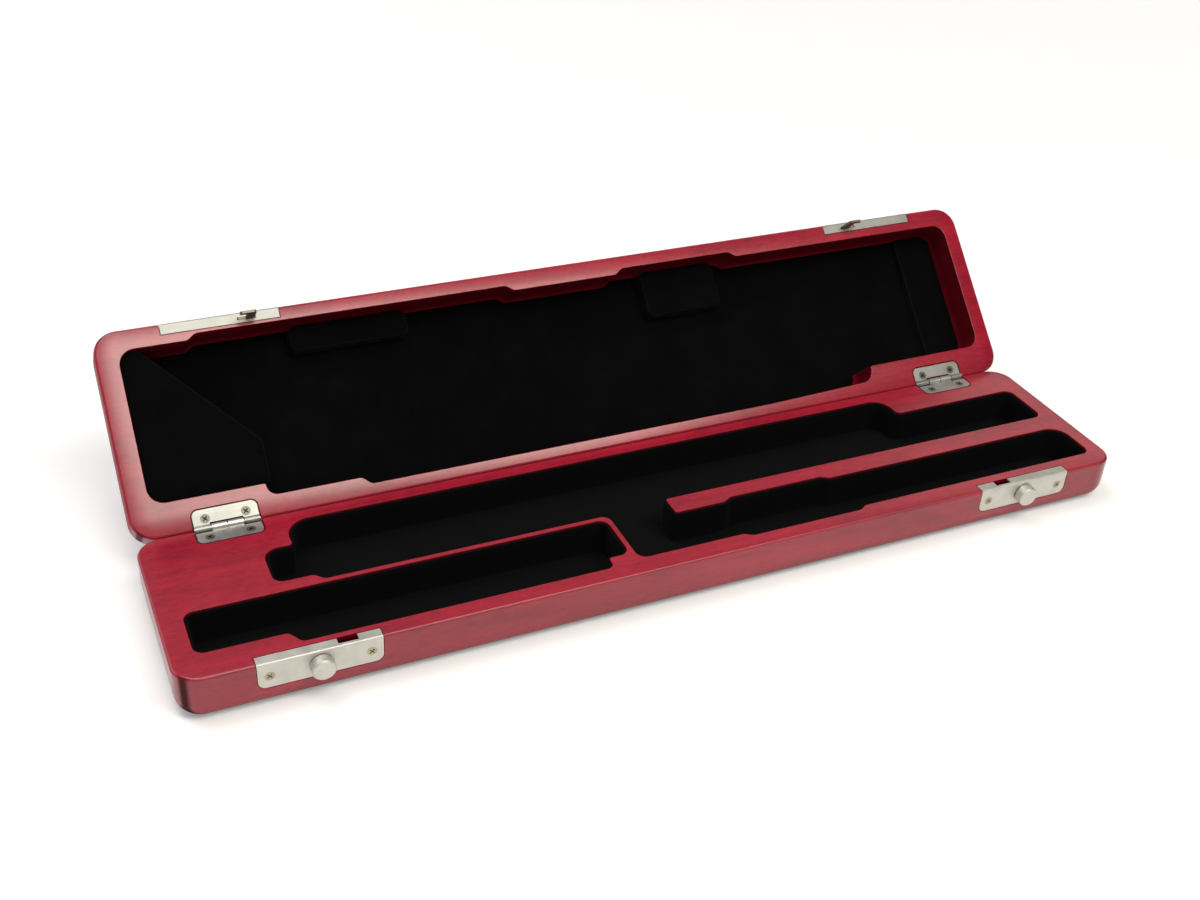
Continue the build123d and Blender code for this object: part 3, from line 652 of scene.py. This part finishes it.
def filled(mesh, ring, face_up, height):
    """Close a ring of vertices with a field of small triangles, whose inner points are
    raised by height(point)."""
    loop = [vert.co.xy for vert in ring]
    extra = inside_points(loop, FLOOR_STEP, FLOOR_STEP / 2)
    count = len(loop)
    edges = [(i, (i + 1) % count) for i in range(count)]
    points, _, faces, origins, _, _ = geometry.delaunay_2d_cdt(
        loop + extra, edges, [], 1, MERGE_DISTANCE
    )
    level = ring[0].co.z
    verts = []
    for point, origin in zip(points, origins):
        old = [i for i in origin if i < count]
        if old:
            verts.append(ring[old[0]])
        else:
            verts.append(mesh.verts.new((*point, level + height(point))))
    for face in faces:
        corners = [verts[i] for i in face]
        if len(set(corners)) < 3:
            continue
        first, second, third = (corner.co.xy for corner in corners[:3])
        if ((second - first).cross(third - first) > 0) != face_up:
            corners.reverse()
        if mesh.faces.get(corners) is None:
            mesh.faces.new(corners)


def skin(name, loops_and_heights, top_up, field_height, turn, cloth, body, *replaced):
    """A closed soft piece from rings of equal count.  The first is closed with a flat
    field, and the last with one that is raised by field_height and looks up if top_up."""
    mesh = bmesh.new()
    rings = [
        [mesh.verts.new((point.x, point.y, z)) for point, z in zip(loop, heights)]
        for loop, heights in loops_and_heights
    ]
    for lower, upper in zip(rings, rings[1:]):
        for i in range(len(lower)):
            j = (i + 1) % len(lower)
            mesh.faces.new((lower[i], lower[j], upper[j], upper[i]))
    filled(mesh, rings[0], not top_up, lambda point: 0.0)
    filled(mesh, rings[-1], top_up, field_height)
    bmesh.ops.recalc_face_normals(mesh, faces=mesh.faces)
    bmesh.ops.transform(mesh, matrix=turn, verts=mesh.verts)
    data = bpy.data.meshes.new(name)
    mesh.to_mesh(data)
    mesh.free()
    data.shade_smooth()
    data.materials.append(cloth)
    piece = bpy.data.objects.new(name, data)
    bpy.context.scene.collection.objects.link(piece)
    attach(piece, body)
    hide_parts(*replaced)


def bay_lining(name, node, seed):
    """A velvet skin with a rolled top edge, walls that give a little, and a coved floor."""
    loops, top = flat_outlines(node, 1, STILL)
    inner = resampled(min(loops, key=lambda loop: abs(area(loop))), OUTLINE_STEP)
    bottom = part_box(node)[0].z
    floor = bottom + LINING_THICKNESS
    roll_start = top - LINING_ROLL
    waves = [1 + wobble(point, WALL_WAVE_LENGTH, seed) for point in inner]
    walls = [
        point + (moved - point) * wave
        for point, moved, wave in zip(inner, grown(inner, LINING_WAVE), waves)
    ]
    rings = []

    def ring(outward, height, roll=0.0):
        points = grown(walls, outward)
        rings.append((points, [height + roll * LINING_WAVE * wave for wave in waves]))

    thickness = LINING_THICKNESS - 2 * LINING_WAVE
    ring(thickness, bottom)
    ring(thickness, roll_start)
    reach = thickness / 2
    for step in range(1, ROLL_STEPS):
        angle = pi * step / ROLL_STEPS
        ring(reach + reach * cos(angle), roll_start + LINING_ROLL * sin(angle), -1)
    wall_height = roll_start - floor - COVE
    for step in range(RING_STEPS + 1):
        ring(0.0, roll_start - wall_height * step / RING_STEPS)
    for step in range(1, RING_STEPS + 1):
        angle = pi / 2 * step / RING_STEPS
        ring(-COVE * (1 - cos(angle)), floor + COVE * (1 - sin(angle)))

    def sag(point):
        return LINING_WAVE * wobble(point, FLOOR_WAVE_LENGTH, seed)

    skin(name, rings, True, sag, STILL, base_velvet, "base", node)


def lid_piece(name, node, edge, crown, draw, seed):
    """A soft piece on the lid's panel: a rounded edge, sides drawn in, a crowned face."""
    loops, back = flat_outlines(node, 1, closing)
    outline = resampled(max(loops, key=lambda loop: abs(area(loop))), OUTLINE_STEP)
    lowest = flat_outlines(node, -1, closing)[1]
    face = lowest + crown
    rings = []

    def ring(inward, height):
        rings.append((grown(outline, -inward), [height] * len(outline)))

    ring(0.0, back)
    side = back - face - edge
    for step in range(1, RING_STEPS + 1):
        share = step / RING_STEPS
        ring(draw * sin(pi * share), back - side * share)
    for step in range(1, RING_STEPS + 1):
        angle = pi / 2 * step / RING_STEPS
        ring(edge * (1 - cos(angle)), face + edge * (1 - sin(angle)))
    rim = grown(outline, -edge)[::RIM_SKIP]

    def bulge(point):
        gap = min((point - other).length for other in rim)
        rise = 1 - (1 - min(gap / CROWN_ROUNDING, 1.0)) ** 2
        unevenness = CROWN_UNEVENNESS * wobble(point, CROWN_WAVE_LENGTH, seed)
        return -crown * rise * (1 - CROWN_UNEVENNESS + unevenness)

    skin(name, rings, False, bulge, opening, lid_velvet, "lid", node)


bay_lining("foot_bay_velvet", "foot_bay_lining", seed=1.0)
bay_lining("main_bay_velvet", "main_bay_lining", seed=2.0)
lid_piece("lid_velvet", "lid_lining", SHEET_EDGE, SHEET_CROWN, draw=0.0, seed=3.0)
for name, node, crown, seed in (
    ("left_block_velvet", "lid_left_block", BLOCK_CROWN, 4.0),
    ("right_block_velvet", "lid_right_block", BLOCK_CROWN, 5.0),
    ("long_pad_velvet", "lid_long_pad", PAD_CROWN, 6.0),
    ("square_pad_velvet", "lid_square_pad", PAD_CROWN, 7.0),
):
    lid_piece(name, node, SOFT_EDGE, crown, SIDE_DRAW, seed)


# ---------------------------------------------------------------- camera, floor, light

# Camera, at the photograph's viewing angle
CAMERA_PLACE = (-0.24406, -0.43199, 0.37018)
CAMERA_TURN = (56.5238, -3.1401, -24.2302)
CAMERA_LENS = 42.946
SENSOR_WIDTH = 36.0
CLIP_START = 0.01

# Floor: its glow goes from near to far with the distance from the case's middle
FLOOR_SIZE = 6.0
NEAR_RADIUS = 0.35
FAR_RADIUS = 3.0
NEAR_GLOW = 0.22
FAR_GLOW = 0.98

# Strengths of the world's light, and the directions between which it dims or turns white
WORLD_LIGHT = 0.29
WORLD_SHADE = 0.04
RIGHT_START, RIGHT_FULL = 0.25, 0.60
FRONT_START, FRONT_FULL = 0.30, -0.20
HORIZON_TOP, HORIZON_FULL = 0.12, 0.06

WARM = (1, 0.97, 0.87)
DIM_WARM = (1, 0.96, 0.84)
WHITE = (1, 1, 1)


def make_camera():
    data = bpy.data.cameras.new("camera")
    data.sensor_width = SENSOR_WIDTH
    data.lens = CAMERA_LENS
    data.clip_start = CLIP_START
    camera = bpy.data.objects.new("camera", data)
    camera.location = CAMERA_PLACE
    camera.rotation_euler = Euler([radians(angle) for angle in CAMERA_TURN], "XYZ")
    bpy.context.scene.collection.objects.link(camera)
    bpy.context.scene.camera = camera


def pale_floor():
    """Pale grey that glows to the camera and in reflections, and more so far away."""
    pale = Shader.material("pale_floor", (0.9, 0.9, 0.9))
    speckle = pale.noise(60, detail=3)
    greys = pale.ramp(speckle, [(0.3, (0.79, 0.79, 0.79)), (0.7, (0.81, 0.81, 0.81))])
    pale.feed(greys, "Base Color")
    seen = pale.rays("Is Camera Ray", "Is Glossy Ray", "Is Transmission Ray")
    distance = pale.add("ShaderNodeVectorMath", operation="LENGTH")
    pale.link(pale.place, distance.inputs[0])
    glow = pale.range(
        distance.outputs["Value"], NEAR_RADIUS, FAR_RADIUS, NEAR_GLOW, FAR_GLOW
    )
    pale.feed(pale.math("MULTIPLY", seen, glow), "Emission Strength")
    pale.set(Emission_Color=(1, 1, 1, 1), Roughness=0.9, Specular_IOR_Level=0.1)
    return pale.owner


def make_floor():
    """A pale floor that shows near white to the camera and keeps the case's shadow."""
    data = bpy.data.meshes.new("floor")
    half = FLOOR_SIZE / 2
    corners = [(-half, -half, 0), (half, -half, 0), (half, half, 0), (-half, half, 0)]
    data.from_pydata(corners, [], [(0, 1, 2, 3)])
    data.materials.append(pale_floor())
    floor = bpy.data.objects.new("floor", data)
    bpy.context.scene.collection.objects.link(floor)


def make_world():
    """A dim surround that is darker towards the front right.  To the camera it is white,
    and so it is low over the horizon in reflections."""
    world = bpy.data.worlds.new("studio")
    sky = Shader(world, "Background", "Generated")
    sky.set(Color=(1, 1, 1, 1))
    split = sky.add("ShaderNodeSeparateXYZ")
    sky.link(sky.place, split.inputs[0])
    to_right = sky.range(split.outputs["X"], RIGHT_START, RIGHT_FULL)
    to_front = sky.range(split.outputs["Y"], FRONT_START, FRONT_FULL)
    dark = sky.math("MULTIPLY", to_right, to_front)
    strength = sky.range(dark, 0, 1, WORLD_LIGHT, WORLD_SHADE)
    low = sky.range(split.outputs["Z"], HORIZON_TOP, HORIZON_FULL)
    mirrored = sky.math("MULTIPLY", sky.rays("Is Glossy Ray", "Is Transmission Ray"), low)
    white = sky.math("MAXIMUM", mirrored, sky.rays("Is Camera Ray"))
    sky.feed(sky.math("MAXIMUM", strength, white), "Strength")
    bpy.context.scene.world = world


def softbox(name, place, target, size, power, colour, turn=0.0):
    """A rectangular lamp aimed at the target, turned in its own plane."""
    data = bpy.data.lights.new(name, "AREA")
    data.shape = "RECTANGLE"
    data.size, data.size_y = size
    data.energy = power
    data.color = colour
    lamp = bpy.data.objects.new(name, data)
    lamp.location = place
    aim = Vector(target) - Vector(place)
    facing = aim.to_track_quat("-Z", "Y").to_matrix()
    lamp.rotation_euler = (facing @ Matrix.Rotation(turn, 3, "Z")).to_euler()
    bpy.context.scene.collection.objects.link(lamp)


make_camera()
make_floor()
make_world()
softbox(
    "key_softbox",
    place=(0.24, -0.73, 1.3),
    target=(0.02, 0.06, 0.05),
    size=(1.15, 0.58),
    power=16.5,
    colour=WARM,
    turn=radians(-38),
)
softbox(
    "top_softbox",
    place=(-0.4, 0.25, 1.4),
    target=(-0.15, 0, 0),
    size=(0.7, 0.7),
    power=8,
    colour=WHITE,
)
softbox(
    "side_softbox",
    place=(1.3, 0.9, 0.9),
    target=(0, 0, 0.03),
    size=(0.7, 0.7),
    power=0.9,
    colour=DIM_WARM,
)
softbox(
    "back_softbox",
    place=(-1.0, 0.9, 0.9),
    target=(-0.1, 0.1, 0.05),
    size=(0.7, 0.7),
    power=3,
    colour=WHITE,
)
bpy.context.scene.view_settings.view_transform = "Standard"
